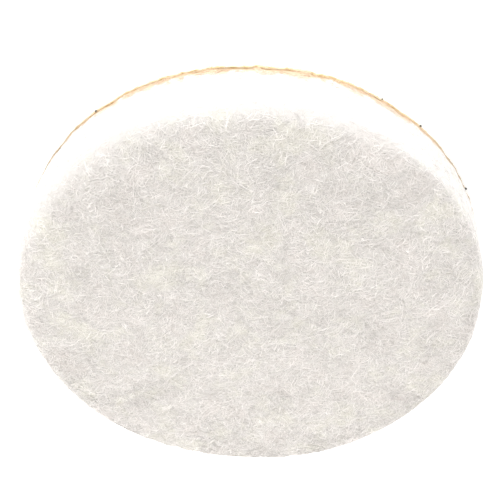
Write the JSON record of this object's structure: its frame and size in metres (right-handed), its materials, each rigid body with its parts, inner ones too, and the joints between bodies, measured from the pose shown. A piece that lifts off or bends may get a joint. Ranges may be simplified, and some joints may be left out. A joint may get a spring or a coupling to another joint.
{
  "type": "felt polishing wheel",
  "caption": "Flat disc of pressed white wool felt on a loop-cloth backing, bonded by an amber adhesive film, for polishing stone on a hook-faced backing pad.",
  "frame": {"origin": "where the wheel's axis meets the plane that the fastening loops press against", "axes": "+Z along the wheel's axis, from the loop backing towards the working face; X and Y lie in the backing plane"},
  "size_m": [0.0804, 0.0804, 0.014],
  "materials": {
    "wool_felt": "matted undyed wool fibres, dull, faintly warm grey",
    "amber_adhesive": "dried contact cement, amber, satin, uneven",
    "knitted_ground": "fine warp-knit nylon, heat-sealed at the cut edge",
    "loop_pile": "brushed nylon loops, slight sheen"
  },
  "bodies": {
    "root": {"felt_disc": "wool_felt", "contact_adhesive": "amber_adhesive", "backing_cloth": "knitted_ground", "fastening_loops": "loop_pile"}
  },
  "joints": []
}
